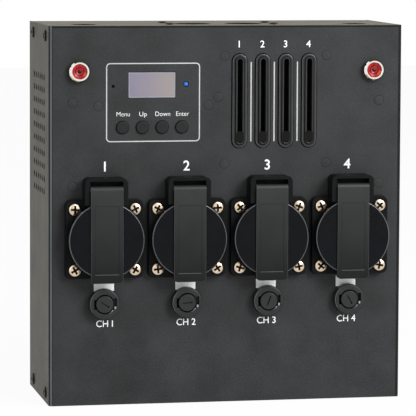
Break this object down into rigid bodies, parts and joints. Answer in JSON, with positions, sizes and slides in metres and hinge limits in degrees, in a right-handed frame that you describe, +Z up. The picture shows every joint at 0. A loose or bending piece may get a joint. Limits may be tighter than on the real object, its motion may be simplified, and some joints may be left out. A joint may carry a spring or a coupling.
{
  "type": "dimmer pack",
  "caption": "Stage dimmer pack: folded steel case with lidded panel sockets, fuse holders, fader slots, a display with keys and control sockets in its top.",
  "frame": {"origin": "middle of the whole object's footprint, on the plane that its bottom edge stands on", "axes": "+Z up, the front panel with its sockets faces -Y, +X to the viewer's right"},
  "size_m": [0.2314, 0.1026, 0.24],
  "materials": {
    "powder_coated_steel": "fine-textured satin powder coat",
    "black_zinc_screw": "black zinc plated",
    "moulded_nylon": "black moulded, fine texture",
    "glossy_lid_plastic": "black moulded, semi-gloss",
    "spring_steel": "drawn wire and ground pin",
    "nickel_plated_screw": "warm nickel plated",
    "fuse_glass": "clear tube with nickel caps",
    "circuit_board": "green solder mask",
    "display_glass": "liquid crystal display behind a polished window",
    "chrome_bezel": "polished",
    "red_lens": "clear red, facetted",
    "bare_aluminium": "extruded"
  },
  "bodies": {
    "root": {"front_cover": "powder_coated_steel", "chassis": "powder_coated_steel", "cover_screw_1": "black_zinc_screw", "cover_screw_2": "black_zinc_screw", "cover_screw_3": "black_zinc_screw", "cover_screw_4": "black_zinc_screw", "cover_screw_5": "black_zinc_screw", "cover_screw_6": "black_zinc_screw", "cover_screw_7": "black_zinc_screw", "cover_screw_8": "black_zinc_screw", "socket_housing_1": "moulded_nylon", "lid_pin_1": "spring_steel", "socket_fixings_1": "nickel_plated_screw", "fuse_holder_1": "moulded_nylon", "socket_housing_2": "moulded_nylon", "lid_pin_2": "spring_steel", "socket_fixings_2": "nickel_plated_screw", "fuse_holder_2": "moulded_nylon", "socket_housing_3": "moulded_nylon", "lid_pin_3": "spring_steel", "socket_fixings_3": "nickel_plated_screw", "fuse_holder_3": "moulded_nylon", "socket_housing_4": "moulded_nylon", "lid_pin_4": "spring_steel", "socket_fixings_4": "nickel_plated_screw", "fuse_holder_4": "moulded_nylon", "fader_surround": "moulded_nylon", "fader_board": "circuit_board", "control_board": "circuit_board", "display": "display_glass", "lamp_bezel_left": "chrome_bezel", "lamp_lens_left": "red_lens", "lamp_bezel_right": "chrome_bezel", "lamp_lens_right": "red_lens", "dmx_in_socket": "moulded_nylon", "dmx_out_socket": "moulded_nylon", "dmx_board": "circuit_board", "mains_inlet": "moulded_nylon", "dimmer_board": "circuit_board", "heat_sink": "bare_aluminium"},
    "lid_1": {"socket_lid_1": "glossy_lid_plastic"},
    "lid_2": {"socket_lid_2": "glossy_lid_plastic"},
    "lid_3": {"socket_lid_3": "glossy_lid_plastic"},
    "lid_4": {"socket_lid_4": "glossy_lid_plastic"},
    "fader_1": {"fader_lever_1": "glossy_lid_plastic"},
    "fader_2": {"fader_lever_2": "glossy_lid_plastic"},
    "fader_3": {"fader_lever_3": "glossy_lid_plastic"},
    "fader_4": {"fader_lever_4": "glossy_lid_plastic"},
    "menu_key": {"button_menu": "moulded_nylon"},
    "up_key": {"button_up": "moulded_nylon"},
    "down_key": {"button_down": "moulded_nylon"},
    "enter_key": {"button_enter": "moulded_nylon"},
    "fuse_1": {"glass_fuse_1": "fuse_glass"},
    "fuse_2": {"glass_fuse_2": "fuse_glass"},
    "fuse_3": {"glass_fuse_3": "fuse_glass"},
    "fuse_4": {"glass_fuse_4": "fuse_glass"},
    "bayonet_1": {"fuse_cap_1": "moulded_nylon"},
    "bayonet_2": {"fuse_cap_2": "moulded_nylon"},
    "bayonet_3": {"fuse_cap_3": "moulded_nylon"},
    "bayonet_4": {"fuse_cap_4": "moulded_nylon"}
  },
  "joints": [
    {"name": "lid_1_hinge", "type": "hinge", "parent": "root", "child": "lid_1", "pos_m": [-0.0786, -0.047, 0.1363], "axis": [-1, 0, 0], "range_deg": [0, 105], "stiffness_Nm_per_rad": 0.01, "springref_deg": -34.38},
    {"name": "lid_2_hinge", "type": "hinge", "parent": "root", "child": "lid_2", "pos_m": [-0.0262, -0.047, 0.1363], "axis": [-1, 0, 0], "range_deg": [0, 105], "stiffness_Nm_per_rad": 0.01, "springref_deg": -34.38},
    {"name": "lid_3_hinge", "type": "hinge", "parent": "root", "child": "lid_3", "pos_m": [0.0262, -0.047, 0.1363], "axis": [-1, 0, 0], "range_deg": [0, 105], "stiffness_Nm_per_rad": 0.01, "springref_deg": -34.38},
    {"name": "lid_4_hinge", "type": "hinge", "parent": "root", "child": "lid_4", "pos_m": [0.0786, -0.047, 0.1363], "axis": [-1, 0, 0], "range_deg": [0, 105], "stiffness_Nm_per_rad": 0.01, "springref_deg": -34.38},
    {"name": "fader_1_slide", "type": "slide", "parent": "root", "child": "fader_1", "axis": [0, 0, 1], "range_m": [0, 0.045]},
    {"name": "fader_2_slide", "type": "slide", "parent": "root", "child": "fader_2", "axis": [0, 0, 1], "range_m": [0, 0.045]},
    {"name": "fader_3_slide", "type": "slide", "parent": "root", "child": "fader_3", "axis": [0, 0, 1], "range_m": [0, 0.045]},
    {"name": "fader_4_slide", "type": "slide", "parent": "root", "child": "fader_4", "axis": [0, 0, 1], "range_m": [0, 0.045]},
    {"name": "menu_press", "type": "slide", "parent": "root", "child": "menu_key", "axis": [0, 1, 0], "range_m": [0, 0.00025], "stiffness_N_per_m": 1000, "springref_m": -0.0005},
    {"name": "up_press", "type": "slide", "parent": "root", "child": "up_key", "axis": [0, 1, 0], "range_m": [0, 0.00025], "stiffness_N_per_m": 1000, "springref_m": -0.0005},
    {"name": "down_press", "type": "slide", "parent": "root", "child": "down_key", "axis": [0, 1, 0], "range_m": [0, 0.00025], "stiffness_N_per_m": 1000, "springref_m": -0.0005},
    {"name": "enter_press", "type": "slide", "parent": "root", "child": "enter_key", "axis": [0, 1, 0], "range_m": [0, 0.00025], "stiffness_N_per_m": 1000, "springref_m": -0.0005},
    {"name": "fuse_1_draw", "type": "slide", "parent": "root", "child": "fuse_1", "axis": [0, -1, 0], "range_m": [0, 0.024]},
    {"name": "fuse_1_turn", "type": "hinge", "parent": "fuse_1", "child": "bayonet_1", "pos_m": [-0.0786, -0.0367, 0.0642], "axis": [0, -1, 0], "range_deg": [0, 90]},
    {"name": "fuse_2_draw", "type": "slide", "parent": "root", "child": "fuse_2", "axis": [0, -1, 0], "range_m": [0, 0.024]},
    {"name": "fuse_2_turn", "type": "hinge", "parent": "fuse_2", "child": "bayonet_2", "pos_m": [-0.0262, -0.0367, 0.0642], "axis": [0, -1, 0], "range_deg": [0, 90]},
    {"name": "fuse_3_draw", "type": "slide", "parent": "root", "child": "fuse_3", "axis": [0, -1, 0], "range_m": [0, 0.024]},
    {"name": "fuse_3_turn", "type": "hinge", "parent": "fuse_3", "child": "bayonet_3", "pos_m": [0.0262, -0.0367, 0.0642], "axis": [0, -1, 0], "range_deg": [0, 90]},
    {"name": "fuse_4_draw", "type": "slide", "parent": "root", "child": "fuse_4", "axis": [0, -1, 0], "range_m": [0, 0.024]},
    {"name": "fuse_4_turn", "type": "hinge", "parent": "fuse_4", "child": "bayonet_4", "pos_m": [0.0786, -0.0367, 0.0642], "axis": [0, -1, 0], "range_deg": [0, 90]}
  ]
}
